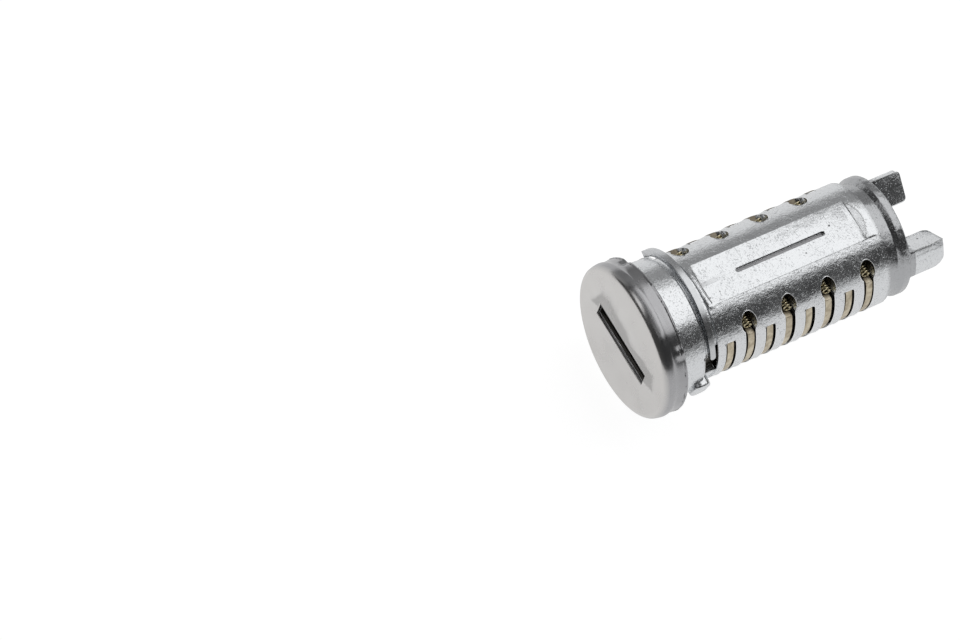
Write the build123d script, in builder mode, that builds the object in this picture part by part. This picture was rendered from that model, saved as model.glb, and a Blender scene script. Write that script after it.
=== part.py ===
"""Plug of a car door lock, the cylinder that turns inside the lock's housing.

A die-cast zinc plug carries a pressed steel front cap, a retaining ring behind it, eight sprung
wafers set alternately from two sides, and a sprung shutter behind the keyway's mouth.

Frame: millimetres, X along the axis from the cap's face towards the rear, Z up towards the flat
land, Y along the keyway's long side. An angle from the land turns about X from +Z towards -Y.
"""
import os
from math import asin, atan2, cos, degrees, hypot, radians, sin, sqrt

from build123d import *

os.makedirs("parts", exist_ok=True)

# Plug body: radii, each from the barrel's
BARREL_R = 8.5
NECK_RISE = 0.55
NECK_FLARE = 0.3
HEAD_RISE = 1.03
GROOVE_DEPTH = 0.2
WAIST_DEPTH = 0.75
RIM_CHAMFER = 0.55
REAR_CHAMFER = 0.2
NECK_R = BARREL_R + NECK_RISE
NECK_FRONT_R = NECK_R + NECK_FLARE
HEAD_R = NECK_R + HEAD_RISE
GROOVE_R = BARREL_R - GROOVE_DEPTH
WAIST_R = BARREL_R - WAIST_DEPTH
RIM_R = WAIST_R + RIM_CHAMFER

# Front cap, drawn from sheet over the plug's head
CAP_DEPTH = 3.65
CAP_SHEET = 0.5
CAP_SHOULDER_R = 0.95
CAP_STEP = 0.12
CAP_STEP_X = 1.75
CAP_NECK_GAP = 0.08
CAP_REAR_R = HEAD_R + CAP_SHEET
CAP_R = CAP_REAR_R + CAP_STEP
CAP_LIP_R = NECK_FRONT_R + CAP_NECK_GAP

# Stakes, at one angle either side of the land and of the side opposite it
STAKE_R = 0.8
STAKE_HEIGHT = 0.2
STAKE_ANGLE = 43.0
STAKE_ANGLES = (STAKE_ANGLE, -STAKE_ANGLE, 180 - STAKE_ANGLE, STAKE_ANGLE - 180)

# Wafers along the barrel; a drift is where a loose wafer stands in its slot
WAFER_COUNT = 8
WAFER_PITCH = 3.03
WAFER_THICKNESS = 1.0
WAFER_DRIFTS = (0.0, 0.12, -0.05, -0.13, -0.1, -0.12, 0.0, 0.13)
SLOT_GAP = 0.3

# Plug body: stations along the axis, each from the one before
NECK_LENGTH = 3.85
GROOVE_WIDTH = 2.05
BARREL_LEAD = 1.95
BARREL_TAIL = 3.44
WAIST_LENGTH = 1.7
RIM_LENGTH = 1.7
HEAD_FRONT_X = CAP_SHEET
HEAD_REAR_X = CAP_DEPTH - CAP_SHEET
NECK_REAR_X = CAP_DEPTH + NECK_LENGTH
BARREL_FRONT_X = NECK_REAR_X + GROOVE_WIDTH
FIRST_WAFER_X = BARREL_FRONT_X + BARREL_LEAD
LAST_WAFER_X = FIRST_WAFER_X + (WAFER_COUNT - 1) * WAFER_PITCH
BARREL_REAR_X = LAST_WAFER_X + BARREL_TAIL
RIM_FRONT_X = BARREL_REAR_X + WAIST_LENGTH
RIM_REAR_X = RIM_FRONT_X + RIM_LENGTH

# Flat land with its engraved line; each end slopes up and meets the barrel's crown a run further on
LAND_HALF_ANGLE = 19.5
LAND_FRONT_MARGIN = 0.85
LAND_REAR_MARGIN = 2.15
LAND_FRONT_RUN = 0.4
LAND_REAR_RUN = 0.9
LINE_FRONT_MARGIN = 5.35
LINE_REAR_MARGIN = 4.7
LINE_WIDTH = 0.6
LINE_DEPTH = 0.45
LAND_Z = BARREL_R * cos(radians(LAND_HALF_ANGLE))
LAND_CUT_Z = LAND_Z + 2 * (BARREL_R - LAND_Z)
LAND_FRONT_X = BARREL_FRONT_X + LAND_FRONT_MARGIN
LAND_REAR_X = BARREL_REAR_X - LAND_REAR_MARGIN
LINE_FRONT_X = LAND_FRONT_X + LINE_FRONT_MARGIN
LINE_REAR_X = LAND_REAR_X - LINE_REAR_MARGIN

# Keyway
KEYWAY_LENGTH = 11.5
KEYWAY_THICKNESS = 2.5
KEYWAY_TAIL = 2.3
KEYWAY_END_X = LAST_WAFER_X + KEYWAY_TAIL

# Wafers and their slots
WAFER_HALF = 4.15
WAFER_SIDE_GAP = 0.15
WAFER_PROUD = 0.1
WAFER_TRAVEL = 0.9
WINDOW_END_INSET = 0.9
WINDOW_SIDE_GAP = 0.2
WINDOW_SHIFTS = (0.0, 0.4, 0.2, 0.6, 0.4, 0.0, 0.6, 0.2)
WINDOW_LENGTH = KEYWAY_LENGTH - 2 * WINDOW_END_INSET
WINDOW_WIDTH = KEYWAY_THICKNESS + 2 * WINDOW_SIDE_GAP
SLOT_CORNER_R = 0.35
SLOT_WIDTH = WAFER_THICKNESS + 2 * SLOT_GAP
SLOT_HALF = WAFER_HALF + WAFER_SIDE_GAP

# Spring pockets, and the ears that the springs stand on
POCKET_R = 1.18
POCKET_RISE = 1.27
POCKET_FLOOR = 0.1
EAR_GAP = 0.2
EAR_WIDTH = 1.0
EAR_TIP_GAP = 0.35
POCKET_Z = SLOT_HALF + POCKET_RISE
EAR_INNER = POCKET_FLOOR + WAFER_TRAVEL + EAR_GAP
EAR_OUTER = EAR_INNER + EAR_WIDTH
EAR_TIP_Z = POCKET_Z + POCKET_R - EAR_TIP_GAP

# Wafer springs, lying along their wafers' shoulders from the ear to the pocket's mouth
SPRING_WIRE_R = 0.11
SPRING_R = 0.5
SPRING_PITCH = 0.4
SPRING_GAP = 0.04
SPRING_Z = WAFER_HALF + SPRING_GAP + SPRING_WIRE_R + SPRING_R
SPRING_SEAT = EAR_OUTER + SPRING_GAP + SPRING_WIRE_R
SPRING_EDGE_Z = SPRING_Z + SPRING_R + SPRING_WIRE_R
SPRING_LENGTH = sqrt(BARREL_R**2 - SPRING_EDGE_Z**2) - SPRING_SEAT

# Retaining ring, an open clip round its own axis: it is pushed over to one side, as far as the
# groove lets its near end go. Its angles are round its own axis.
RING_FRONT_GAP = 0.4
RING_THICKNESS = 0.8
RING_HEIGHT = 0.88
RING_START_ANGLE = -72.0
RING_END_ANGLE = 68.0
RING_SHIFT = 0.45
RING_SHIFT_ANGLE = -70.0
RING_GAP = 0.02
RING_TIP_FLAT = 0.1
HOOK_SPAN = 3.0
HOOK_DEPTH = 0.5
RING_FRONT_X = NECK_REAR_X + RING_FRONT_GAP
RING_REAR_X = RING_FRONT_X + RING_THICKNESS
RING_TIP_R = (RING_THICKNESS - RING_TIP_FLAT) / 2
RING_TURN = radians(RING_END_ANGLE - RING_SHIFT_ANGLE)
RING_BORE_R = sqrt(GROOVE_R**2 - (RING_SHIFT * sin(RING_TURN)) ** 2) - RING_SHIFT * cos(RING_TURN)
RING_INNER_R = RING_BORE_R + RING_GAP
RING_OUTER_R = RING_INNER_R + RING_HEIGHT
RING_Y = -RING_SHIFT * sin(radians(RING_SHIFT_ANGLE))
RING_Z = RING_SHIFT * cos(radians(RING_SHIFT_ANGLE))
HOOK_TIP_R = GROOVE_R - HOOK_DEPTH

# Notches that take the ring's two turned-in ends, and a cast lug beyond the near one
NOTCH_REACH = 0.4
NOTCH_DEPTH = 0.95
NOTCH_START_ANGLE = 62.0
NOTCH_END_ANGLE = 90.0
NOTCH_TAIL_ANGLE = 57.0
FAR_NOTCH_START_ANGLE = -78.0
FAR_NOTCH_END_ANGLE = -66.0
LUG_ANGLE = 101.0
LUG_FRONT_OFFSET = 1.7
LUG_REAR_OFFSET = 0.85
LUG_WIDTH = 3.6
LUG_RISE = 0.7
LUG_CORNER_R = 1.1
LUG_ROOT = 1.5
LUG_EDGE_R = 0.4
NOTCH_FRONT_X = NECK_REAR_X - NOTCH_REACH
NOTCH_FLOOR_R = GROOVE_R - NOTCH_DEPTH
LUG_FRONT_X = NECK_REAR_X - LUG_FRONT_OFFSET
LUG_REAR_X = NECK_REAR_X + LUG_REAR_OFFSET
LUG_R = NECK_R + LUG_RISE

# Drive tangs on the rear face
TANG_ROOT = 0.5
WIDE_TANG_START_ANGLE = 50.0
WIDE_TANG_END_ANGLE = 79.0
WIDE_TANG_INSET = 0.15
WIDE_TANG_INNER_R = 3.9
WIDE_TANG_LENGTH = 5.1
WIDE_TANG_CORNER_R = 1.7
WIDE_TANG_INNER_CORNER_R = 1.0
NARROW_TANG_ANGLE = -50.0
NARROW_TANG_FACE = 2.1
NARROW_TANG_THICKNESS = 1.0
NARROW_TANG_INSET = 0.4
NARROW_TANG_INNER = 3.4
NARROW_TANG_LENGTH = 4.4
NARROW_TANG_CORNER_R = 0.6
TANG_FRONT_X = RIM_REAR_X - TANG_ROOT
WIDE_TANG_R = RIM_R - WIDE_TANG_INSET
WIDE_TANG_REAR_X = RIM_REAR_X + WIDE_TANG_LENGTH
NARROW_TANG_OUTER = sqrt((RIM_R - NARROW_TANG_INSET) ** 2 - NARROW_TANG_FACE**2)
NARROW_TANG_REAR_X = RIM_REAR_X + NARROW_TANG_LENGTH

# Shutter spring: whole turns round the shutter's rod, and a part turn more to aim its flap leg
HINGE_SPRING_WIRE_R = 0.12
HINGE_SPRING_R = 0.62
HINGE_SPRING_PITCH = 0.3
HINGE_SPRING_TURNS = 3
HINGE_SPRING_OUTER_R = HINGE_SPRING_R + HINGE_SPRING_WIRE_R
FLAP_LEG_LENGTH = 1.9
ROOF_LEG_GAP = 0.06
FLAP_LEG_GAP = 0.03

# Shutter, and the chamber in the plug's head in which it swings
SHUTTER_THICKNESS = 0.4
SHUTTER_OVERLAP = 0.2
SHUTTER_GAP = 0.15
HINGE_R = 0.35
HINGE_CLEARANCE = 0.06
HINGE_RISE = 0.35
TRUNNION_LENGTH = 0.7
TRUNNION_END_GAP = 0.1
LEDGE_THICKNESS = 0.5
LEDGE_GAP = 0.05
CHAMBER_SIDE_GAP = 0.05
CHAMBER_ROOF_GAP = 0.31
CHAMBER_REAR_GAP = 0.2
CUTOUT_SIDE_GAP = 0.4
CUTOUT_END_GAP = 0.2
LEDGE_REAR_X = HEAD_FRONT_X + LEDGE_THICKNESS
SHUTTER_FRONT_X = LEDGE_REAR_X + LEDGE_GAP
SHUTTER_REAR_X = SHUTTER_FRONT_X + SHUTTER_THICKNESS
HINGE_X = SHUTTER_FRONT_X + HINGE_R
HINGE_Z = KEYWAY_THICKNESS / 2 + HINGE_R + HINGE_RISE
SHUTTER_EDGE_Z = -KEYWAY_THICKNESS / 2 - SHUTTER_OVERLAP
CHAMBER_HALF_LENGTH = KEYWAY_LENGTH / 2 + CHAMBER_SIDE_GAP
CHAMBER_FLOOR_Z = SHUTTER_EDGE_Z - SHUTTER_GAP
CHAMBER_TOP_Z = HINGE_Z + HINGE_SPRING_OUTER_R + CHAMBER_ROOF_GAP
CHAMBER_REAR_X = HINGE_X + HINGE_Z - SHUTTER_EDGE_Z + CHAMBER_REAR_GAP
BEARING_HALF_LENGTH = CHAMBER_HALF_LENGTH + TRUNNION_LENGTH
SHUTTER_HALF_LENGTH = CHAMBER_HALF_LENGTH - SHUTTER_GAP
HINGE_SPRING_Y = SHUTTER_HALF_LENGTH / 2
FLAP_LEG_X = SHUTTER_REAR_X + HINGE_SPRING_WIRE_R + FLAP_LEG_GAP
FLAP_LEG_SPAN = hypot(FLAP_LEG_X - HINGE_X, FLAP_LEG_LENGTH)
FLAP_LEG_LEAN = asin(HINGE_SPRING_R / FLAP_LEG_SPAN) - atan2(FLAP_LEG_X - HINGE_X, FLAP_LEG_LENGTH)
HINGE_SPRING_LENGTH = (HINGE_SPRING_TURNS + degrees(FLAP_LEG_LEAN) / 360) * HINGE_SPRING_PITCH
CUTOUT_HALF_LENGTH = HINGE_SPRING_LENGTH / 2 + CUTOUT_SIDE_GAP
CUTOUT_DEPTH = HINGE_SPRING_OUTER_R + CUTOUT_END_GAP


def turned(angle):
    """The XY plane turned about X, its Y axis pointing at this angle from the land."""
    return Plane.XY.rotated((angle + 90, 0, 0))


def station(number):
    """Middle of slot number 1 to 8 along the axis."""
    return FIRST_WAFER_X + (number - 1) * WAFER_PITCH


def open_side(number):
    """Side on which the slot's spring pocket opens: +Y for odd numbers, -Y for even ones."""
    return 1 if number % 2 else -1


def middle(low, high):
    """Halfway between two places on one axis."""
    return (low + high) / 2


def ring_plane(angle):
    """The turned plane moved to the retaining ring's own axis."""
    return Plane((0, RING_Y, RING_Z), x_dir=(1, 0, 0), z_dir=turned(angle).z_dir)


def hook_r(angle):
    """Radius, round the ring's own axis, at which a hook at this angle ends."""
    return HOOK_TIP_R - RING_SHIFT * cos(radians(angle - RING_SHIFT_ANGLE))


# Plug body
with BuildPart() as plug_body:
    # The turned form
    with BuildSketch(Plane.XY):
        with BuildLine():
            Polyline(
                (HEAD_FRONT_X, 0),
                (HEAD_FRONT_X, HEAD_R),
                (HEAD_REAR_X, HEAD_R),
                (HEAD_REAR_X, NECK_FRONT_R),
                (NECK_REAR_X, NECK_R),
                (NECK_REAR_X, GROOVE_R),
                (BARREL_FRONT_X, GROOVE_R),
                (BARREL_FRONT_X, BARREL_R),
                (BARREL_REAR_X, BARREL_R),
                (BARREL_REAR_X, WAIST_R),
                (RIM_FRONT_X, WAIST_R),
                (RIM_FRONT_X + RIM_CHAMFER, RIM_R),
                (RIM_REAR_X - REAR_CHAMFER, RIM_R),
                (RIM_REAR_X, RIM_R - REAR_CHAMFER),
                (RIM_REAR_X, 0),
                close=True,
            )
        make_face()
    revolve(axis=Axis.X)

    # The land is a flat with sloping ends and an engraved line along its middle
    with BuildSketch(Plane.XZ.offset(-BARREL_R)):
        with BuildLine():
            Polyline(
                (LAND_FRONT_X, LAND_Z),
                (LAND_REAR_X, LAND_Z),
                (LAND_REAR_X + 2 * LAND_REAR_RUN, LAND_CUT_Z),
                (LAND_FRONT_X - 2 * LAND_FRONT_RUN, LAND_CUT_Z),
                close=True,
            )
        make_face()
    extrude(amount=2 * BARREL_R, mode=Mode.SUBTRACT)
    with BuildSketch(Plane.XY.offset(LAND_Z)):
        with Locations((middle(LINE_FRONT_X, LINE_REAR_X), 0)):
            SlotOverall(LINE_REAR_X - LINE_FRONT_X, LINE_WIDTH)
    extrude(amount=-LINE_DEPTH, mode=Mode.SUBTRACT)

    # Notches for the retaining ring's ends; the near one has a tail behind the ring
    for front_x, start_angle, end_angle in (
        (NOTCH_FRONT_X, NOTCH_START_ANGLE, NOTCH_END_ANGLE),
        (RING_REAR_X, NOTCH_TAIL_ANGLE, NOTCH_END_ANGLE),
        (NOTCH_FRONT_X, FAR_NOTCH_START_ANGLE, FAR_NOTCH_END_ANGLE),
    ):
        with BuildSketch(turned(start_angle)):
            with Locations((middle(front_x, BARREL_FRONT_X), middle(NOTCH_FLOOR_R, CAP_R))):
                Rectangle(BARREL_FRONT_X - front_x, CAP_R - NOTCH_FLOOR_R)
        revolve(
            axis=Axis.X, revolution_arc=end_angle - start_angle, mode=Mode.SUBTRACT
        )

    # The lug, a low round-cornered boss across the neck's rear edge
    lug_out = turned(LUG_ANGLE).y_dir
    with BuildSketch(Plane(lug_out * (NECK_R - LUG_ROOT), x_dir=(1, 0, 0), z_dir=lug_out)):
        with Locations((middle(LUG_FRONT_X, LUG_REAR_X), 0)):
            RectangleRounded(LUG_REAR_X - LUG_FRONT_X, LUG_WIDTH, LUG_CORNER_R)
    extrude(amount=LUG_ROOT + LUG_RISE)
    lug_top = plug_body.faces().sort_by_distance(lug_out * LUG_R + Vector(NECK_REAR_X, 0, 0))[0]
    fillet(lug_top.edges(), radius=LUG_EDGE_R)

    # Keyway
    with Locations((middle(HEAD_FRONT_X, KEYWAY_END_X), 0, 0)):
        Box(
            KEYWAY_END_X - HEAD_FRONT_X,
            KEYWAY_LENGTH,
            KEYWAY_THICKNESS,
            mode=Mode.SUBTRACT,
        )

    # The shutter's chamber, with a ledge across its front below the keyway
    for front_x, floor_z in (
        (HEAD_FRONT_X, -KEYWAY_THICKNESS / 2),
        (LEDGE_REAR_X, CHAMBER_FLOOR_Z),
    ):
        with Locations((middle(front_x, CHAMBER_REAR_X), 0, middle(floor_z, CHAMBER_TOP_Z))):
            Box(
                CHAMBER_REAR_X - front_x,
                2 * CHAMBER_HALF_LENGTH,
                CHAMBER_TOP_Z - floor_z,
                mode=Mode.SUBTRACT,
            )

    # Bearings for the shutter's rod, open towards the front
    with BuildSketch(Plane.XZ.offset(-BEARING_HALF_LENGTH)):
        with Locations((HINGE_X, HINGE_Z)):
            Circle(HINGE_R + HINGE_CLEARANCE)
        with Locations((middle(HEAD_FRONT_X, HINGE_X), HINGE_Z)):
            Rectangle(HINGE_X - HEAD_FRONT_X, 2 * (HINGE_R + HINGE_CLEARANCE))
    extrude(amount=2 * BEARING_HALF_LENGTH, mode=Mode.SUBTRACT)

    # Slots go right through, and each has a blind round pocket from one side
    with BuildSketch(Plane.XZ.offset(-BARREL_R)):
        with Locations([(station(number), 0) for number in range(1, WAFER_COUNT + 1)]):
            RectangleRounded(SLOT_WIDTH, 2 * SLOT_HALF, SLOT_CORNER_R)
    extrude(amount=2 * BARREL_R, mode=Mode.SUBTRACT)
    for number in range(1, WAFER_COUNT + 1):
        x = station(number)
        pocket_length = BARREL_R - POCKET_FLOOR
        pocket_y = open_side(number) * middle(POCKET_FLOOR, BARREL_R)
        with Locations((x, pocket_y, POCKET_Z / 2)):
            Box(SLOT_WIDTH, pocket_length, POCKET_Z, mode=Mode.SUBTRACT)
        with Locations((x, pocket_y, POCKET_Z)):
            Cylinder(POCKET_R, pocket_length, rotation=(90, 0, 0), mode=Mode.SUBTRACT)

    # Wide drive tang: a sector standing on the rear face
    with BuildSketch(turned(WIDE_TANG_START_ANGLE)):
        with Locations(
            (middle(TANG_FRONT_X, WIDE_TANG_REAR_X), middle(WIDE_TANG_INNER_R, WIDE_TANG_R))
        ):
            Rectangle(WIDE_TANG_REAR_X - TANG_FRONT_X, WIDE_TANG_R - WIDE_TANG_INNER_R)
    revolve(axis=Axis.X, revolution_arc=WIDE_TANG_END_ANGLE - WIDE_TANG_START_ANGLE)

    # Narrow drive tang: a plate beside the axis
    narrow_plane = turned(NARROW_TANG_ANGLE)
    with BuildSketch(narrow_plane.offset(NARROW_TANG_FACE - NARROW_TANG_THICKNESS)):
        with Locations(
            (
                middle(TANG_FRONT_X, NARROW_TANG_REAR_X),
                middle(NARROW_TANG_INNER, NARROW_TANG_OUTER),
            )
        ):
            Rectangle(
                NARROW_TANG_REAR_X - TANG_FRONT_X, NARROW_TANG_OUTER - NARROW_TANG_INNER
            )
    extrude(amount=NARROW_TANG_THICKNESS)

    # Rounded corners of the tangs
    wide_end = plug_body.faces().filter_by(Axis.X).sort_by(Axis.X)[-1]
    fillet(wide_end.edges().sort_by(Axis.Z)[0], radius=WIDE_TANG_CORNER_R)
    wide_end = plug_body.faces().filter_by(Axis.X).sort_by(Axis.X)[-1]
    fillet(wide_end.edges().sort_by(Axis.Y)[-1], radius=WIDE_TANG_INNER_CORNER_R)
    narrow_corners = (
        plug_body.edges()
        .filter_by(Axis((0, 0, 0), tuple(narrow_plane.z_dir)))
        .group_by(Axis.X)[-1]
    )
    fillet(narrow_corners, radius=NARROW_TANG_CORNER_R)
plug_body.part.label = "plug_body"
export_step(plug_body.part, "parts/plug_body.step")

# Front cap: a drawn cup with a stepped wall, its lip rolled in behind the plug's head
with BuildPart() as front_cap:
    with BuildSketch(Plane.XY):
        with BuildLine():
            face_line = Line((0, 0), (0, CAP_R - CAP_SHOULDER_R))
            shoulder = RadiusArc(face_line @ 1, (CAP_SHOULDER_R, CAP_R), CAP_SHOULDER_R)
            Polyline(
                shoulder @ 1,
                (CAP_STEP_X, CAP_R),
                (CAP_STEP_X + CAP_STEP, CAP_REAR_R),
                (CAP_DEPTH, CAP_REAR_R),
                (CAP_DEPTH, CAP_LIP_R),
                (HEAD_REAR_X, CAP_LIP_R),
                (HEAD_REAR_X, HEAD_R),
                (HEAD_FRONT_X, HEAD_R),
                (HEAD_FRONT_X, 0),
                (0, 0),
            )
        make_face()
    revolve(axis=Axis.X)

    # Stakes hold the rolled edge, each a low bump that ends flush with it
    stake_place = Location((CAP_DEPTH - STAKE_R, CAP_REAR_R + STAKE_HEIGHT - STAKE_R, 0))
    for angle in STAKE_ANGLES:
        with Locations(turned(angle).location * stake_place):
            Sphere(STAKE_R)
    for front_x, rear_x, bore_r in (
        (HEAD_FRONT_X, HEAD_REAR_X, HEAD_R),
        (HEAD_REAR_X, CAP_DEPTH, CAP_LIP_R),
    ):
        with Locations((middle(front_x, rear_x), 0, 0)):
            Cylinder(bore_r, rear_x - front_x, rotation=(0, 90, 0), mode=Mode.SUBTRACT)

    # The keyway's mouth
    with Locations((middle(0, HEAD_FRONT_X), 0, 0)):
        Box(CAP_SHEET, KEYWAY_LENGTH, KEYWAY_THICKNESS, mode=Mode.SUBTRACT)
front_cap.part.label = "front_cap"
export_step(front_cap.part, "parts/front_cap.step")

# Retaining ring: an open clip, each end turned in as a short hook and rounded off
with BuildPart() as retaining_ring:
    for start_angle, span, inner_r in (
        (RING_START_ANGLE, RING_END_ANGLE - RING_START_ANGLE, RING_INNER_R),
        (RING_START_ANGLE, HOOK_SPAN, hook_r(RING_START_ANGLE)),
        (RING_END_ANGLE - HOOK_SPAN, HOOK_SPAN, hook_r(RING_END_ANGLE)),
    ):
        with BuildSketch(ring_plane(start_angle)):
            with Locations((middle(RING_FRONT_X, RING_REAR_X), middle(inner_r, RING_OUTER_R))):
                Rectangle(RING_THICKNESS, RING_OUTER_R - inner_r)
        revolve(axis=Axis((0, RING_Y, RING_Z), (1, 0, 0)), revolution_arc=span)
    for end_angle in (RING_START_ANGLE, RING_END_ANGLE):
        outwards = tuple(ring_plane(end_angle).y_dir)
        fillet(
            retaining_ring.edges().filter_by(Axis((0, RING_Y, RING_Z), outwards)),
            radius=RING_TIP_R,
        )
retaining_ring.part.label = "retaining_ring"
export_step(retaining_ring.part, "parts/retaining_ring.step")

# Wafers: stamped plates, each with a window and an ear for its spring
for number in range(1, WAFER_COUNT + 1):
    side = open_side(number)
    wafer_front = station(number) + WAFER_DRIFTS[number - 1] - WAFER_THICKNESS / 2
    with BuildPart() as wafer:
        with BuildSketch(Plane.YZ.offset(wafer_front)):
            with Locations((WAFER_PROUD, 0)):
                Circle(BARREL_R)
            Rectangle(4 * BARREL_R, 2 * WAFER_HALF, mode=Mode.INTERSECT)
            with Locations((side * middle(EAR_INNER, EAR_OUTER), EAR_TIP_Z / 2)):
                Rectangle(EAR_WIDTH, EAR_TIP_Z)
            with Locations((side * WINDOW_SHIFTS[number - 1], 0)):
                Rectangle(WINDOW_LENGTH, WINDOW_WIDTH, mode=Mode.SUBTRACT)
        extrude(amount=WAFER_THICKNESS)
    wafer.part.label = f"wafer_{number}"
    export_step(wafer.part, f"parts/wafer_{number}.step")

# Wafer springs: each coil stands on its wafer's ear and lies along the wafer's shoulder
for number in range(1, WAFER_COUNT + 1):
    side = open_side(number)
    with BuildPart() as wafer_spring:
        with BuildLine():
            coil = Helix(
                pitch=SPRING_PITCH,
                height=SPRING_LENGTH,
                radius=SPRING_R,
                center=(station(number), side * SPRING_SEAT, SPRING_Z),
                direction=(0, side, 0),
            )
        with BuildSketch(Plane(coil @ 0, z_dir=coil % 0)):
            Circle(SPRING_WIRE_R)
        sweep(is_frenet=True)
    wafer_spring.part.label = f"wafer_spring_{number}"
    export_step(wafer_spring.part, f"parts/wafer_spring_{number}.step")

# Shutter: a flap on a rod, cut out where its spring sits
with BuildPart() as shutter:
    with BuildSketch(Plane.YZ.offset(SHUTTER_FRONT_X)):
        with Locations((0, middle(SHUTTER_EDGE_Z, HINGE_Z))):
            Rectangle(2 * SHUTTER_HALF_LENGTH, HINGE_Z - SHUTTER_EDGE_Z)
        with Locations((HINGE_SPRING_Y, HINGE_Z)):
            Rectangle(2 * CUTOUT_HALF_LENGTH, 2 * CUTOUT_DEPTH, mode=Mode.SUBTRACT)
    extrude(amount=SHUTTER_THICKNESS)
    with Locations((HINGE_X, 0, HINGE_Z)):
        Cylinder(
            HINGE_R, 2 * (BEARING_HALF_LENGTH - TRUNNION_END_GAP), rotation=(90, 0, 0)
        )
shutter.part.label = "shutter"
export_step(shutter.part, "parts/shutter.step")

# Shutter spring: one wire, from under the chamber's roof, round the rod and down the flap's back
with BuildPart() as shutter_spring:
    with BuildLine() as spring_wire:
        hinge_coil = Helix(
            pitch=HINGE_SPRING_PITCH,
            height=HINGE_SPRING_LENGTH,
            radius=HINGE_SPRING_R,
            center=(HINGE_X, HINGE_SPRING_Y - HINGE_SPRING_LENGTH / 2, HINGE_Z),
            direction=(0, 1, 0),
            mode=Mode.PRIVATE,
        ).rotate(Axis((HINGE_X, 0, HINGE_Z), (0, 1, 0)), 90)
        add(hinge_coil)
        coil_start = hinge_coil @ 0
        coil_end = hinge_coil @ 1
        roof_end = (coil_start.X, coil_start.Y, CHAMBER_TOP_Z - ROOF_LEG_GAP)
        Line(roof_end, coil_start)
        Line(coil_end, (FLAP_LEG_X, coil_end.Y, HINGE_Z - FLAP_LEG_LENGTH))
    with BuildSketch(Plane(roof_end, z_dir=(0, 0, -1))):
        Circle(HINGE_SPRING_WIRE_R)
    sweep(path=spring_wire.wires()[0], is_frenet=True, transition=Transition.RIGHT)
shutter_spring.part.label = "shutter_spring"
export_step(shutter_spring.part, "parts/shutter_spring.step")
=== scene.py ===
# %% [markdown]
# # Plug of a car door lock
#
# The plug is the metal cylinder that turns inside a lock's housing. Its solids come from the packed
# CAD model, in metres, with X along the axis from the cap's face towards the rear and Z up towards
# the flat land. This lesson dresses them: it rounds their edges, adds the small forms that casting,
# rolling and staking leave behind, and gives each metal its own finish. An angle from the land turns
# about X from +Z towards -Y, as in the CAD source.

# %% Load the frame
from math import cos, pi, radians, sin

import bpy
from mathutils import Matrix, Vector


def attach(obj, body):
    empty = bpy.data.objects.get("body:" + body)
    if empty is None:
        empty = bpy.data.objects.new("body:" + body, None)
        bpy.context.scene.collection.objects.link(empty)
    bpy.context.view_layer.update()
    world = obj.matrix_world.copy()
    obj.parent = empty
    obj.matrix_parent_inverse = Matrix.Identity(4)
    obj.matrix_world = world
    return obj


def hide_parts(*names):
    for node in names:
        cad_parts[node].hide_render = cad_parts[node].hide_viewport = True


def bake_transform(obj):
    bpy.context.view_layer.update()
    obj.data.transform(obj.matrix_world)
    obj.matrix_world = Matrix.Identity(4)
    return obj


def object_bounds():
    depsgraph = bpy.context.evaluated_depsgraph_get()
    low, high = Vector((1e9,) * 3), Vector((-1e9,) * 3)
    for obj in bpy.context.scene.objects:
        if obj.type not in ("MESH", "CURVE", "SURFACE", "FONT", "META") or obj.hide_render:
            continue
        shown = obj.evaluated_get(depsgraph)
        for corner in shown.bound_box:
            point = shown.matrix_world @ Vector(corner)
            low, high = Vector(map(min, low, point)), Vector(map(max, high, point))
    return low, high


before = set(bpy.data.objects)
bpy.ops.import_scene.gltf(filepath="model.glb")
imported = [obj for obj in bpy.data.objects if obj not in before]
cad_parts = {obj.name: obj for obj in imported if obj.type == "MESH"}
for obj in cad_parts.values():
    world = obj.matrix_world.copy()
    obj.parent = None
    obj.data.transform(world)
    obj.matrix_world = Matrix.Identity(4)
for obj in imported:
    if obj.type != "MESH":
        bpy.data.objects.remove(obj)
cad_low, cad_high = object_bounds()
MM = 0.001
print("CAD box in mm", [round(v / MM, 2) for v in (*cad_low, *cad_high)])

# %% [markdown]
# ## The camera
#
# The photograph was taken from the front and above, with a long lens that shows the cap's face and
# the barrel's near side at once. A camera can be placed by three coordinates and three turns, or by
# where it looks, from which side, how high and how far. The second way is used because each of its
# numbers means something by itself.

# %% Camera
AZIMUTH, ELEVATION, ROLL = radians(-46.87), radians(59.85), radians(19.7)
AIM = Vector((-15.0, 10.7, 0.0)) * MM
DISTANCE = 813.6 * MM
LENS_MM, SENSOR_MM = 237.62, 36.0

level_right = Vector((cos(AZIMUTH), sin(AZIMUTH), 0))
back = Vector((sin(AZIMUTH) * cos(ELEVATION), -cos(AZIMUTH) * cos(ELEVATION), sin(ELEVATION)))
level_up = back.cross(level_right)
right = cos(ROLL) * level_right + sin(ROLL) * level_up
up = cos(ROLL) * level_up - sin(ROLL) * level_right

bpy.ops.object.camera_add(location=AIM + back * DISTANCE)
camera = bpy.context.object
camera.name = "camera"
camera.rotation_euler = Matrix((right, up, back)).transposed().to_euler()
camera.data.lens = LENS_MM
camera.data.sensor_width = SENSOR_MM
camera.data.clip_end = 20
bpy.context.scene.camera = camera
bpy.context.scene.view_settings.view_transform = "Standard"
print("camera at", [round(v, 4) for v in camera.location])

# %% [markdown]
# ## Colours and nodes
#
# Colours are written as sRGB hex, as a paint program shows them, and one function turns them to the
# linear values that the shader works in. Materials are built from nodes. One small function adds a
# node with its settings and links, so that each material below reads as a list of what it does.


# %% Helpers for colours and nodes
def colour(hex_code):
    """An sRGB hex colour as linear RGBA."""
    parts = [int(hex_code[i:i + 2], 16) / 255 for i in (1, 3, 5)]
    return (*[v / 12.92 if v <= 0.04045 else ((v + 0.055) / 1.055) ** 2.4 for v in parts], 1.0)


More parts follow.
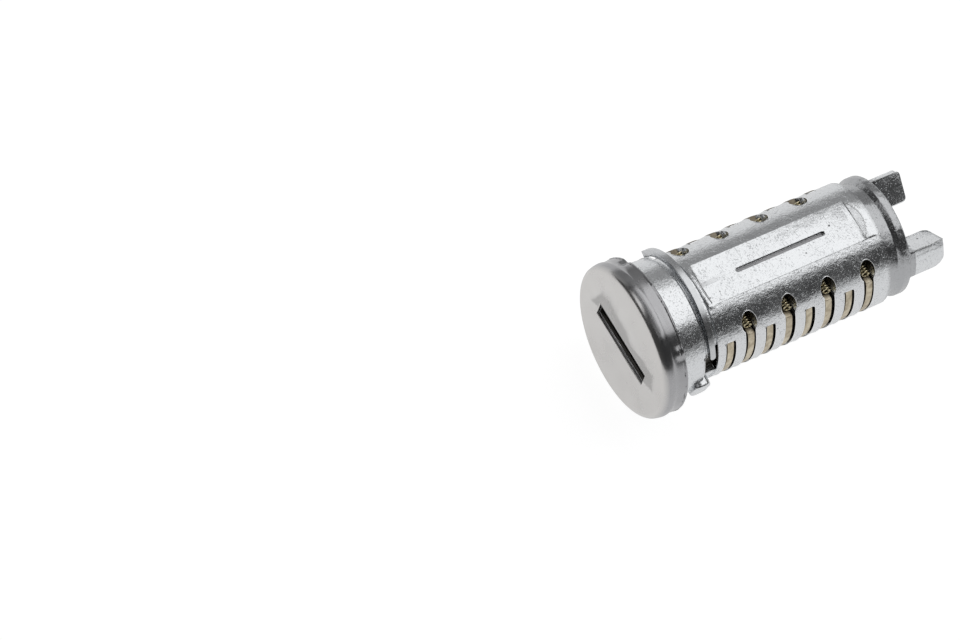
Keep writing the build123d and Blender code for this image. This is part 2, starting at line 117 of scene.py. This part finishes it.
def node(tree, kind, settings=None, **inputs):
    """Adds a shader node. Inputs go by name, or by _0, _1 for its first and second socket."""
    made = tree.nodes.new("ShaderNode" + kind)
    for key, value in (settings or {}).items():
        setattr(made, key, value)
    for key, value in inputs.items():
        socket = made.inputs[int(key[1:]) if key[0] == "_" else key.replace("_", " ")]
        if isinstance(value, bpy.types.NodeSocket):
            tree.links.new(value, socket)
        else:
            socket.default_value = value
    return made


def per_mm(size):
    """Noise scale at which a pattern's features are this many millimetres apart."""
    return 1 / (size * MM)


# %% [markdown]
# ## Floor, backdrop and lamps
#
# Polished metal shows what stands round it, so the studio is as much a part of the finish as the
# material is. A large soft lamp overhead whitens the land and stops short on the near side, where the
# dark of the room draws the dark band along the barrel. A low strip of light under that dark ends the
# band, and a dimmer lamp fills the far side. The floor is white to the camera and in reflections, and
# its diffuse part keeps the shadow.

# %% Floor
FLOOR_Z = cad_low.z
bpy.ops.object.select_all(action="DESELECT")
bpy.ops.mesh.primitive_plane_add(size=6, location=(0, 0, FLOOR_Z))
floor = bpy.context.object
floor.name = "floor"

paper = bpy.data.materials.new("studio_paper")
paper.use_nodes = True
tree = paper.node_tree
tree.nodes.clear()
CAMERA_WHITE, REFLECTED_WHITE, PAPER_DIFFUSE = 0.93, 0.68, 0.25
path = node(tree, "LightPath")
seen = node(tree, "Math", {"operation": "MULTIPLY"}, _0=path.outputs["Is Camera Ray"], _1=CAMERA_WHITE)
mirrored = node(tree, "Math", {"operation": "MAXIMUM"}, _0=path.outputs["Is Glossy Ray"],
                _1=path.outputs["Is Transmission Ray"])
strength = node(tree, "Math", {"operation": "MULTIPLY_ADD"}, _0=mirrored.outputs[0],
                _1=REFLECTED_WHITE, _2=seen.outputs[0])
glow = node(tree, "Emission", Color=(1, 1, 1, 1), Strength=strength.outputs[0])
matt = node(tree, "BsdfDiffuse", Color=(PAPER_DIFFUSE, PAPER_DIFFUSE, PAPER_DIFFUSE, 1))
both = node(tree, "AddShader", _0=glow.outputs[0], _1=matt.outputs[0])
node(tree, "OutputMaterial", Surface=both.outputs[0])
floor.data.materials.append(paper)

# %% World
DARK_SIDE = 0.055
world = bpy.data.worlds.new("studio")
bpy.context.scene.world = world
world.use_nodes = True
tree = world.node_tree
tree.nodes.clear()
path = node(tree, "LightPath")
shade = node(tree, "MapRange", Value=path.outputs["Is Camera Ray"], To_Min=DARK_SIDE, To_Max=1.0)
sky = node(tree, "Background", Color=(1, 1, 1, 1), Strength=shade.outputs[0])
node(tree, "OutputWorld", Surface=sky.outputs[0])


# %% Lamps
def softbox(name, place, aim, width, height, radiance):
    """A rectangular lamp whose face shows at this radiance in a perfect mirror."""
    bpy.ops.object.light_add(type="AREA", location=place)
    lamp = bpy.context.object
    lamp.name = name
    lamp.data.shape = "RECTANGLE"
    lamp.data.size, lamp.data.size_y = width, height
    lamp.data.energy = radiance * width * height * pi
    lamp.rotation_euler = (Vector(place) - Vector(aim)).to_track_quat("Z", "Y").to_euler()
    lamp.visible_camera = False
    return lamp


softbox("overhead", (0.43, 0.06, 0.45), (0.43, 0.06, 0), 0.76, 0.72, 1.08)
softbox("front_patch", (-0.28, 0.21, 0.45), (-0.28, 0.21, 0), 0.46, 0.26, 1.0)
softbox("far_fill", (0.2, 0.55, 0.2), (0.0, 0.0, 0.05), 1.2, 0.5, 0.24)
softbox("near_strip", (0.35, -1.0, 0.06), (0.35, 0.0, 0.06), 3.0, 0.16, 0.62)

# %% [markdown]
# ## The cast zinc
#
# The plug is a pressure die casting in zinc alloy. Such a casting could be painted as one grey, but
# its skin is never even: it is finely grained where the metal chilled against the die, wavy and
# cloudy where it was tumbled, nicked by its neighbours in the barrel, and dotted with small pits.
# Metal has no colour of its own beyond its reflections, so most of this goes into roughness and bump.
# Inside the slots a mask by distance from the axis paints shade there: a darker, less metallic skin.


# %% Start of a metal
def metal(name, base, roughness):
    """A metal material with one even finish; returns it with its tree, shader and coordinates."""
    made = bpy.data.materials.new(name)
    made.use_nodes = True
    tree = made.node_tree
    tree.nodes.clear()
    shader = node(tree, "BsdfPrincipled", Base_Color=colour(base), Metallic=1.0, Roughness=roughness)
    node(tree, "OutputMaterial", Surface=shader.outputs[0])
    place = node(tree, "TexCoord").outputs["Object"]
    return made, tree, shader, place


def band(tree, value, low, high, to_low=0.0, to_high=1.0):
    """Maps value from low..high to to_low..to_high, clamped."""
    return node(tree, "MapRange", Value=value, From_Min=low, From_Max=high, To_Min=to_low,
                To_Max=to_high).outputs[0]


def combine(tree, operation, first, second, third=0.0):
    """One arithmetic step."""
    return node(tree, "Math", {"operation": operation}, _0=first, _1=second, _2=third).outputs[0]


# %% Cast zinc: waves, grain and roughness
zinc, tree, shader, place = metal("cast_zinc_tumbled", "#e2e4e6", 0.3)
cloud = node(tree, "TexNoise", Vector=place, Scale=per_mm(2.4), Detail=4.0)
wave = node(tree, "TexNoise", Vector=place, Scale=per_mm(1.1), Detail=2.0)
grain = node(tree, "TexNoise", Vector=place, Scale=per_mm(0.30), Detail=4.0, Roughness=0.65)
patchy = band(tree, cloud.outputs[0], 0.35, 0.65, 0.11, 0.21)
rough = combine(tree, "MULTIPLY_ADD", grain.outputs[0], 0.12, patchy)
tree.links.new(rough, shader.inputs["Roughness"])

# %% Cast zinc: nicks, pits and specks
# Nicks run slantwise, 1.5 mm long and under 0.1 mm wide
nicks = 0.0
for turn in (40, -50, 80):
    slant = node(tree, "Mapping", Vector=place, Rotation=(0, radians(turn / 2), radians(turn)))
    drawn = node(tree, "Mapping", Vector=slant.outputs[0], Scale=(0.1, 1.0, 1.0))
    streak = node(tree, "TexNoise", Vector=drawn.outputs[0], Scale=per_mm(0.17), Detail=1.0)
    nicks = combine(tree, "ADD", band(tree, streak.outputs[0], 0.68, 0.76), nicks)

# Pits: one chance in three in each 1.5 mm cell
cells = node(tree, "TexVoronoi", Vector=place, Scale=per_mm(1.5))
chance = node(tree, "SeparateColor", Color=cells.outputs["Color"])
few = combine(tree, "LESS_THAN", chance.outputs[0], 0.3)
pit = combine(tree, "MULTIPLY", few, band(tree, cells.outputs["Distance"], 0.05, 0.12, 1.0, 0.0))

# Specks of oxide, 0.2 mm across, thicker in some clouds than in others
fine = node(tree, "TexNoise", Vector=place, Scale=per_mm(0.26), Detail=3.0)
speck = combine(tree, "MULTIPLY", band(tree, fine.outputs[0], 0.56, 0.72),
                band(tree, cloud.outputs[0], 0.40, 0.62, 0.1, 0.8))

# %% Cast zinc: painted shade inside slots, pockets and keyway
INSIDE_FROM, INSIDE_TO, INSIDE_TOP = 8.2 * MM, 7.5 * MM, 7.3 * MM
INSIDE_END = 36.0 * MM
split = node(tree, "SeparateXYZ", Vector=place)
across = node(tree, "CombineXYZ", Y=split.outputs["Y"], Z=split.outputs["Z"])
radius = node(tree, "VectorMath", {"operation": "LENGTH"}, _0=across.outputs[0])
deep = band(tree, radius.outputs["Value"], INSIDE_FROM, INSIDE_TO)
below = combine(tree, "LESS_THAN", split.outputs["Z"], INSIDE_TOP)
ahead = combine(tree, "LESS_THAN", split.outputs["X"], INSIDE_END)
inside = combine(tree, "MULTIPLY", combine(tree, "MULTIPLY", below, ahead), deep)

# %% Cast zinc: colour and normal
clean = node(tree, "MixRGB", Fac=cloud.outputs[0], Color1=colour("#dcdee0"), Color2=colour("#eceef0"))
specked = node(tree, "MixRGB", Fac=speck, Color1=clean.outputs[0], Color2=colour("#9a9b9f"))
pitted = node(tree, "MixRGB", Fac=pit, Color1=specked.outputs[0], Color2=colour("#707073"))
# Painted shade in the engraved groove along the land: a narrow band just below the land is darkened
groove_painted_shade = band(tree, split.outputs["Z"], 7.98 * MM, 7.80 * MM)
groove_painted_shade = combine(tree, "MULTIPLY", groove_painted_shade, combine(tree, "GREATER_THAN", split.outputs["Z"], 7.5 * MM))
aside = node(tree, "Math", {"operation": "ABSOLUTE"}, _0=split.outputs["Y"]).outputs[0]
groove_painted_shade = combine(tree, "MULTIPLY", groove_painted_shade, combine(tree, "LESS_THAN", aside, 0.34 * MM))
groove_painted_shade = combine(tree, "MULTIPLY", groove_painted_shade, combine(tree, "LESS_THAN", split.outputs["X"], 31 * MM))
groove_shaded = node(tree, "MixRGB", Fac=groove_painted_shade, Color1=pitted.outputs[0], Color2=colour("#8a8a8c"))
# The waist and the rim behind the barrel are darker in colour than the rest
RIM_FROM, RIM_TO, RIM_END = 35.6 * MM, 36.2 * MM, 40.3 * MM
behind = band(tree, split.outputs["X"], RIM_FROM, RIM_TO, 0.0, 0.8)
rear = combine(tree, "MULTIPLY", behind, combine(tree, "LESS_THAN", split.outputs["X"], RIM_END))
varied = node(tree, "MixRGB", Fac=rear, Color1=groove_shaded.outputs[0], Color2=colour("#a9aaac"))
# Painted shade inside the slots, pockets and keyway: the colour is darkened and metalness lowered
inside_painted_shade = node(tree, "MixRGB", Fac=inside, Color1=varied.outputs[0], Color2=colour("#66625c"))
tree.links.new(inside_painted_shade.outputs[0], shader.inputs["Base Color"])
tree.links.new(band(tree, inside, 0.0, 1.0, 1.0, 0.45), shader.inputs["Metallic"])

rolling = node(tree, "Bump", Strength=1.0, Distance=0.05 * MM, Height=wave.outputs[0])
skin = node(tree, "Bump", Strength=1.0, Distance=0.03 * MM, Height=grain.outputs[0],
            Normal=rolling.outputs[0])
nicked = node(tree, "Bump", Strength=1.0, Distance=0.012 * MM, Height=nicks, Normal=skin.outputs[0])
sunk = node(tree, "Bump", {"invert": True}, Strength=1.0, Distance=0.04 * MM, Height=pit,
            Normal=nicked.outputs[0])
tree.links.new(sunk.outputs[0], shader.inputs["Normal"])
print("zinc nodes", len(tree.nodes))

# %% Burnished zinc of the burrs
bright, tree, shader, place = metal("zinc_burnished", "#f2f3f4", 0.16)
bite = node(tree, "TexNoise", Vector=place, Scale=per_mm(0.35), Detail=3.0)
soft = node(tree, "Bump", Strength=1.0, Distance=0.03 * MM, Height=bite.outputs[0])
tree.links.new(soft.outputs[0], shader.inputs["Normal"])

# %% [markdown]
# ## The steels, the brass and the bronze
#
# The cap is stainless sheet, drawn in a press and polished, so it is smoother than the casting and
# slightly rippled, with soft streaks running round its wall. The ring is plated spring steel. The
# wafers are stamped from brass strip and stay as the press leaves them: dull, faintly lined across
# the sheared edge, and tarnished unevenly. Their springs are bronze wire, brighter and yellower.

# %% Pressed and polished steel
steel, tree, shader, place = metal("stainless_pressed_polished", "#dedfe0", 0.2)
smear = node(tree, "TexNoise", Vector=place, Scale=per_mm(3.0), Detail=5.0)
drawn = node(tree, "Mapping", Vector=place, Scale=(3.0, 0.35, 0.35))
streak = node(tree, "TexNoise", Vector=drawn.outputs[0], Scale=per_mm(1.2), Detail=3.0)
split = node(tree, "SeparateXYZ", Vector=place)
wall = band(tree, split.outputs["X"], 0.1 * MM, 0.9 * MM)
varied = band(tree, smear.outputs[0], 0.35, 0.7, 0.14, 0.27)
rough = combine(tree, "MULTIPLY_ADD", streak.outputs[0], 0.08, varied)
tree.links.new(rough, shader.inputs["Roughness"])
# Painted shade: the cap's wall is darker in colour than its face, and smudged at random
dull = node(tree, "MixRGB", Fac=smear.outputs[0], Color1=colour("#98989a"), Color2=colour("#c0c0c2"))
both = node(tree, "MixRGB", Fac=wall, Color1=colour("#dddbd9"), Color2=dull.outputs[0])
tree.links.new(both.outputs[0], shader.inputs["Base Color"])
ripple = node(tree, "TexNoise", Vector=place, Scale=per_mm(1.3), Detail=3.0)
soft = node(tree, "Bump", Strength=1.0, Distance=0.014 * MM, Height=ripple.outputs[0])
lined = node(tree, "Bump", Strength=1.0, Distance=0.012 * MM, Height=streak.outputs[0],
             Normal=soft.outputs[0])
tree.links.new(lined.outputs[0], shader.inputs["Normal"])

# %% Plated spring steel of the ring
plated, tree, shader, place = metal("spring_steel_zinc_plated", "#d2d4d6", 0.28)
smear = node(tree, "TexNoise", Vector=place, Scale=per_mm(0.6), Detail=4.0)
tree.links.new(band(tree, smear.outputs[0], 0.0, 1.0, 0.15, 0.40), shader.inputs["Roughness"])
soft = node(tree, "Bump", Strength=1.0, Distance=0.012 * MM, Height=smear.outputs[0])
tree.links.new(soft.outputs[0], shader.inputs["Normal"])

# %% Stamped brass of the wafers
brass, tree, shader, place = metal("brass_stamped_dull", "#c8b78f", 0.42)
smear = node(tree, "TexNoise", Vector=place, Scale=per_mm(0.9), Detail=4.0)
tarnish = node(tree, "MixRGB", Fac=band(tree, smear.outputs[0], 0.35, 0.65),
               Color1=colour("#ddd3bd"), Color2=colour("#b4a892"))
mark = node(tree, "TexNoise", Vector=place, Scale=per_mm(0.35), Detail=2.0)
marked = node(tree, "MixRGB", Fac=band(tree, mark.outputs[0], 0.62, 0.72, 0.0, 0.6),
              Color1=tarnish.outputs[0], Color2=colour("#7e7260"))
split = node(tree, "SeparateXYZ", Vector=place)
across = node(tree, "CombineXYZ", Y=split.outputs["Y"], Z=split.outputs["Z"])
radius = node(tree, "VectorMath", {"operation": "LENGTH"}, _0=across.outputs[0])
# Painted shade: the wafers darken on their far side, deep in the slots, and where they face along X
far = band(tree, split.outputs["Y"], 0.0, 1.0 * MM, 0.0, 0.7)
painted_brass_shade = combine(tree, "MAXIMUM", far, band(tree, radius.outputs["Value"], 8.35 * MM, 7.6 * MM))
facing = node(tree, "SeparateXYZ", Vector=place.node.outputs["Normal"])
flank = node(tree, "Math", {"operation": "ABSOLUTE"}, _0=facing.outputs["X"])
painted_brass_shade = combine(tree, "MAXIMUM", painted_brass_shade, band(tree, flank.outputs[0], 0.6, 0.9))
dark = node(tree, "MixRGB", Fac=painted_brass_shade, Color1=marked.outputs[0], Color2=colour("#4a443b"))
tree.links.new(dark.outputs[0], shader.inputs["Base Color"])
shear = node(tree, "Mapping", Vector=place, Scale=(0.1, 1.0, 1.0))
lines = node(tree, "TexNoise", Vector=shear.outputs[0], Scale=per_mm(0.18), Detail=2.0)
cut = node(tree, "Bump", Strength=1.0, Distance=0.010 * MM, Height=lines.outputs[0])
tree.links.new(cut.outputs[0], shader.inputs["Normal"])

# %% Bronze and steel wire, and the shutter's plate
bronze, tree, shader, place = metal("phosphor_bronze_wire", "#ece0bc", 0.3)
smear = node(tree, "TexNoise", Vector=place, Scale=per_mm(0.5), Detail=3.0)
tree.links.new(band(tree, smear.outputs[0], 0.0, 1.0, 0.12, 0.32), shader.inputs["Roughness"])

wire, tree, shader, place = metal("spring_steel_drawn", "#a8aaac", 0.3)
smear = node(tree, "TexNoise", Vector=place, Scale=per_mm(0.5), Detail=3.0)
tree.links.new(band(tree, smear.outputs[0], 0.0, 1.0, 0.2, 0.45), shader.inputs["Roughness"])

plate, tree, shader, place = metal("steel_stamped_plain", "#bdbec0", 0.35)
grind = node(tree, "Mapping", Vector=place, Scale=(1.0, 0.05, 1.0))
lines = node(tree, "TexNoise", Vector=grind.outputs[0], Scale=per_mm(0.15), Detail=2.0)
cut = node(tree, "Bump", Strength=1.0, Distance=0.006 * MM, Height=lines.outputs[0])
tree.links.new(cut.outputs[0], shader.inputs["Normal"])


# %% [markdown]
# ## Edges that catch the light
#
# No cast or stamped edge is perfectly sharp. A bright line runs along each one, because a small round
# there always finds a lamp to reflect. The round could be faked in the shader, but then the mesh
# would still be sharp, so a copy of each CAD node is merged, its flat faces are joined, and its sharp
# edges are bevelled, each by a width that suits its place. The copy stands for the node.


# %% Merged copies
def select_only(obj):
    bpy.ops.object.select_all(action="DESELECT")
    obj.select_set(True)
    bpy.context.view_layer.objects.active = obj


def apply_all(obj):
    select_only(obj)
    for modifier in list(obj.modifiers):
        bpy.ops.object.modifier_apply(modifier=modifier.name)


def merged_copy(name, cad_node):
    """A copy of a CAD node's mesh with its triangles' corners merged and its flats joined."""
    made = bpy.data.objects.new(name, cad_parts[cad_node].data.copy())
    bpy.context.scene.collection.objects.link(made)
    select_only(made)
    bpy.ops.mesh.customdata_custom_splitnormals_clear()
    bpy.ops.object.mode_set(mode="EDIT")
    bpy.ops.mesh.select_all(action="SELECT")
    bpy.ops.mesh.remove_doubles(threshold=0.0005 * MM)
    bpy.ops.mesh.dissolve_limited(angle_limit=radians(0.5))
    bpy.ops.object.mode_set(mode="OBJECT")
    return made


def finished(made, body, slot, finish, *cad_nodes):
    """Gives a piece its finish and its body, and lets it stand for its CAD nodes."""
    made.data.materials.clear()
    made.data.materials.append(finish)
    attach(made, body)
    if cad_nodes:
        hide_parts(*cad_nodes)
    print(made.name, len(made.data.polygons), "faces")
    return made


# %% Finding true edges
def outward_faces(mesh):
    """For each face, whether it faces straight away from the axis, as a turned surface does."""
    answers = []
    for face in mesh.polygons:
        radial = Vector((0, face.center.y, face.center.z)).normalized()
        answers.append(face.normal.dot(radial) > 0.97)
    return answers


def true_edges(mesh, sharp_from):
    """Middle in mm of each edge sharper than an angle, or None; facets of one turned surface have none."""
    outward = outward_faces(mesh)
    faces_of = {}
    for face in mesh.polygons:
        for key in face.edge_keys:
            faces_of.setdefault(key, []).append(face.index)
    middles = []
    for edge in mesh.edges:
        faces = faces_of.get(tuple(sorted(edge.vertices)), [])
        turned = len(faces) == 2 and outward[faces[0]] and outward[faces[1]]
        sharp = len(faces) == 2 and not turned and (
            mesh.polygons[faces[0]].normal.angle(mesh.polygons[faces[1]].normal, 0) > radians(sharp_from))
        ends = [mesh.vertices[index].co for index in edge.vertices]
        middles.append((ends[0] + ends[1]) / 2 / MM if sharp else None)
    return middles


# %% Rounding of sharp edges
def rounded(made, sharp_from, width_at, segments=2, smooth_to=30, clamp=False):
    """Bevels edges sharper than an angle; width_at gives the width in mm at an edge's middle."""
    select_only(made)
    mesh = made.data
    widths = [width_at(middle) if middle else 0.0 for middle in true_edges(mesh, sharp_from)]
    widest = max(widths)
    name = "bevel_weight_edge"
    weights = mesh.attributes.get(name) or mesh.attributes.new(name, "FLOAT", "EDGE")
    weights.data.foreach_set("value", [width / widest for width in widths])
    bevel = made.modifiers.new("round", "BEVEL")
    bevel.width = widest * MM
    bevel.segments = segments
    bevel.limit_method = "WEIGHT"
    bevel.use_clamp_overlap = clamp
    bevel.harden_normals = True
    apply_all(made)
    bpy.ops.object.shade_smooth_by_angle(angle=radians(smooth_to))
    return made


# %% The casting, rounded in two passes
TANG_X = 40.6


def casting_width(p):
    """Edge width of the casting in mm: broad behind the neck, narrow at the slots' mouths."""
    if p.x > TANG_X or (p.y < -9.0 and 5 < p.x < 9):
        return 0.0
    if 7.45 < p.x < 7.55 and p.yz.length > 9:
        return 0.26
    return 0.05 if abs(p.z) < 7 and 10 < p.x < 35 else 0.1


def tang_width(p):
    """Edge width in mm on the tangs alone."""
    return 0.2 if p.x > TANG_X else 0.0


casting = merged_copy("plug_casting", "plug_body")
rounded(casting, 30, tang_width, 3, clamp=True)
rounded(casting, 26, casting_width)

# The land's long edges are too blunt to round, and stay crisp. Its two ends run out softly, over
# the short lengths that two cuts part from the rest.
LAND_FRONT_X, LAND_REAR_X = 10.4, 34.0
bpy.ops.object.mode_set(mode="EDIT")
for cut_x in (LAND_FRONT_X + 0.4, LAND_REAR_X - 0.8, LAND_REAR_X + 1.2):
    bpy.ops.mesh.select_all(action="SELECT")
    bpy.ops.mesh.bisect(plane_co=(cut_x * MM, 0, 0), plane_no=(1, 0, 0))
bpy.ops.object.mode_set(mode="OBJECT")


def crisp(p):
    """Whether an edge stays crisp in the shading: not where the land runs out."""
    at_end = p.x < LAND_FRONT_X + 0.1 or p.x > LAND_REAR_X - 0.1
    return not (p.z > 7.9 and abs(p.y) < 3.2 and 9.6 < p.x < 36 and at_end)


edge_is_crisp = [bool(middle) and crisp(middle) for middle in true_edges(casting.data, 15)]
sharp = casting.data.attributes.get("sharp_edge") or casting.data.attributes.new("sharp_edge", "BOOLEAN", "EDGE")
sharp.data.foreach_set("value", edge_is_crisp)
print("crisp edges", sum(edge_is_crisp))
finished(casting, "plug", "cast_zinc", zinc, "plug_body")

# %% Ring, shutter and wafers
ring = rounded(merged_copy("retaining_ring_clip", "retaining_ring"), 35, lambda p: 0.1, 3, clamp=True)
finished(ring, "plug", "ring_steel", plated, "retaining_ring")
flap = rounded(merged_copy("shutter_flap", "shutter"), 40, lambda p: 0.05)
finished(flap, "shutter", "shutter_steel", plate, "shutter")
for number in range(1, 9):
    wafer = rounded(merged_copy(f"wafer_{number}_stamped", f"wafer_{number}"), 30, lambda p: 0.07)
    finished(wafer, f"wafer_{number}", "wafer_brass", brass, f"wafer_{number}")

# %% [markdown]
# ## Burrs round the slots' mouths
#
# After casting, a tool is driven along each slot and pocket to clear it, and it pushes a thin bright
# lip of metal up round the mouth. It could be drawn as a line in the material, but it stands proud
# and glints from every side, so it is a bead. The edges of the mouths are taken from the casting
# itself, parted from it, and given the thickness of a thin wire.

# %% Burrs
BURR_R = 0.06
burrs = merged_copy("slot_mouth_burrs", "plug_body")
bpy.ops.object.mode_set(mode="EDIT")
bpy.ops.mesh.select_mode(type="EDGE")
bpy.ops.mesh.select_all(action="DESELECT")
bpy.ops.mesh.edges_select_sharp(sharpness=radians(26))
bpy.ops.object.mode_set(mode="OBJECT")
for edge in burrs.data.edges:
    for index in edge.vertices:
        p = burrs.data.vertices[index].co / MM
        on_barrel = abs((p.y ** 2 + p.z ** 2) ** 0.5 - 8.5) < 0.03 and abs(p.z) < 6.9
        if not (on_barrel and 10.2 < p.x < 34.2):
            edge.select = False
bpy.ops.object.mode_set(mode="EDIT")
bpy.ops.mesh.select_all(action="INVERT")
bpy.ops.mesh.delete(type="EDGE")
bpy.ops.object.mode_set(mode="OBJECT")
print("mouth edges", len(burrs.data.edges))
bpy.ops.object.convert(target="CURVE")
burrs = bpy.context.object
burrs.data.bevel_depth = BURR_R * MM
burrs.data.bevel_resolution = 2
burrs.data.use_fill_caps = True
bpy.ops.object.convert(target="MESH")
burrs = bpy.context.object
bpy.ops.object.shade_smooth()
finished(burrs, "plug", "cast_zinc", bright)

# %% [markdown]
# ## The front cap
#
# The cap is a cup drawn from sheet and rolled in behind the plug's head. Its section is one line that
# never quite has a corner: a shoulder, a soft step half way back, and a rolled rear edge that stands
# up as an uneven bead. The CAD cap has the step and the edge as crisp corners, so here the section is
# drawn again, point after point, and spun round the axis.

# %% Cap section, spun
def arc(x, r, size, first, last, count):
    """Points on an arc of the section: centre, radius, and first and last angle from +X to +r."""
    turns = [radians(first + (last - first) * i / count) for i in range(count + 1)]
    return [(x + size * cos(turn), r + size * sin(turn)) for turn in turns]


section = [(0.0, 0.0), (0.0, 3.0), (0.0, 6.2), (0.0, 8.2), (0.0, 9.2)]
section += arc(0.95, 9.66, 0.95, 180, 100, 8)
section += [(1.1, 10.66), (1.35, 10.70), (1.55, 10.715), (1.7, 10.70), (1.84, 10.65), (2.0, 10.60)]
section += [(2.25, 10.58), (2.5, 10.585), (2.75, 10.60), (3.0, 10.61), (3.18, 10.61)]
section += arc(3.42, 10.45, 0.23, 140, -20, 7)
section += [(3.65, 10.2), (3.65, 9.8), (3.62, 9.5), (3.5, 9.43), (3.15, 9.43), (3.15, 10.08)]
section += [(1.8, 10.08), (0.5, 10.08), (0.5, 8.0), (0.5, 5.0), (0.5, 0.0)]
bpy.ops.object.select_all(action="DESELECT")
bpy.ops.mesh.primitive_plane_add(size=0.1 * MM, location=(0, 0, 0))
cap = bpy.context.object
cap.name = "front_cap_pressed"
bpy.ops.object.mode_set(mode="EDIT")
bpy.ops.mesh.select_mode(type="VERT")
bpy.ops.mesh.select_all(action="SELECT")
bpy.ops.mesh.merge(type="CENTER")
for before, after in zip(section, section[1:]):
    step = ((after[0] - before[0]) * MM, 0, (after[1] - before[1]) * MM)
    bpy.ops.mesh.extrude_region_move(TRANSFORM_OT_translate={"value": step})
bpy.ops.mesh.select_all(action="SELECT")
bpy.ops.mesh.spin(steps=180, angle=2 * pi, center=(0, 0, 0), axis=(1, 0, 0))
bpy.ops.mesh.select_all(action="SELECT")
bpy.ops.mesh.remove_doubles(threshold=0.002 * MM)
bpy.ops.mesh.normals_make_consistent(inside=False)
bpy.ops.object.mode_set(mode="OBJECT")
print("cap faces", len(cap.data.polygons))


# %% [markdown]
# A punch has pressed the wall at four places, so that its rolled edge bites the plug. Where the metal
# went outwards it stands as a dimpled bump, and in one place it went inwards. A part of the skin is
# picked by its distance from the punch's point and moved, and its surroundings follow it softly.

# %% Crimps
def picked(obj, centre, reach):
    """Selects the vertices within reach mm of a point on the wall, in edit mode."""
    bpy.ops.object.mode_set(mode="OBJECT")
    for item in (*obj.data.edges, *obj.data.polygons):
        item.select = False
    for vertex in obj.data.vertices:
        vertex.select = (vertex.co / MM - centre).length < reach
    bpy.ops.object.mode_set(mode="EDIT")
    bpy.ops.mesh.select_mode(type="VERT")


def pushed(obj, x, angle, r, reach, rise, spread):
    """Moves a patch of the wall outwards by rise mm, or inwards where rise is below zero."""
    out = Vector((0, -sin(radians(angle)), cos(radians(angle))))
    picked(obj, Vector((x, 0, 0)) + out * r, reach)
    bpy.ops.transform.translate(value=out * rise * MM, use_proportional_edit=True,
                                use_proportional_connected=True, proportional_edit_falloff="SMOOTH",
                                proportional_size=spread * MM)
    bpy.ops.object.mode_set(mode="OBJECT")


select_only(cap)
bpy.ops.object.mode_set(mode="EDIT")
for angle in (43, 137, -137):
    pushed(cap, 3.0, angle, 10.57, 0.35, 0.3, 0.75)
    pushed(cap, 2.95, angle, 10.87, 0.22, -0.22, 0.35)
pushed(cap, 3.1, -43, 10.57, 0.4, -0.35, 0.7)
pushed(cap, 3.5, -9, 10.66, 0.2, 0.12, 0.5)

# The bead is left uneven by the rolling
bpy.ops.object.mode_set(mode="OBJECT")
for item in (*cap.data.edges, *cap.data.polygons):
    item.select = False
for vertex in cap.data.vertices:
    vertex.select = vertex.co.x > 3.22 * MM and vertex.co.yz.length > 10.1 * MM
bpy.ops.object.mode_set(mode="EDIT")
bpy.ops.transform.vertex_random(offset=0.035 * MM, uniform=0.3, seed=4)
bpy.ops.object.mode_set(mode="OBJECT")
print("cap radius in mm", round(max(v.co.yz.length for v in cap.data.vertices) / MM, 2))

# %% The keyway's mouth
MOUTH_LENGTH, MOUTH_WIDTH = 11.5, 2.5
bpy.ops.mesh.primitive_cube_add(size=MM, location=(0.25 * MM, 0, 0), scale=(2, MOUTH_LENGTH, MOUTH_WIDTH))
punch = bpy.context.object
punch.name = "mouth_punch"
select_only(cap)
mouth = cap.modifiers.new("mouth", "BOOLEAN")
mouth.operation = "DIFFERENCE"
mouth.solver = "EXACT"
mouth.object = punch
apply_all(cap)
bpy.data.objects.remove(punch)

# The spun spokes on the flat face are joined first, or the bevel would slide along them
bpy.ops.object.mode_set(mode="EDIT")
bpy.ops.mesh.select_all(action="SELECT")
bpy.ops.mesh.remove_doubles(threshold=0.0005 * MM)
bpy.ops.mesh.dissolve_limited(angle_limit=radians(0.5))
bpy.ops.object.mode_set(mode="OBJECT")
rounded(cap, 55, lambda p: 0.1)
finished(cap, "plug", "polished_steel", steel, "front_cap")

# %% [markdown]
# ## Springs
#
# A wafer's spring stands between the wafer's ear and the mouth of its pocket, and its windings are
# modelled in the CAD. A smooth-shaded copy of each spring, and of the shutter's spring, stands for
# its CAD node, in the node's place.

# %% Wafer springs
for number in range(1, 9):
    coil = merged_copy(f"wafer_spring_{number}_coil", f"wafer_spring_{number}")
    bpy.ops.object.shade_smooth()
    coil.data.materials.clear()
    coil.data.materials.append(bronze)
    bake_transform(coil)
    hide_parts(f"wafer_spring_{number}")

# %% Shutter spring
twisted = merged_copy("shutter_spring_coil", "shutter_spring")
bpy.ops.object.shade_smooth()
twisted.data.materials.clear()
twisted.data.materials.append(wire)
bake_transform(twisted)
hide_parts("shutter_spring")
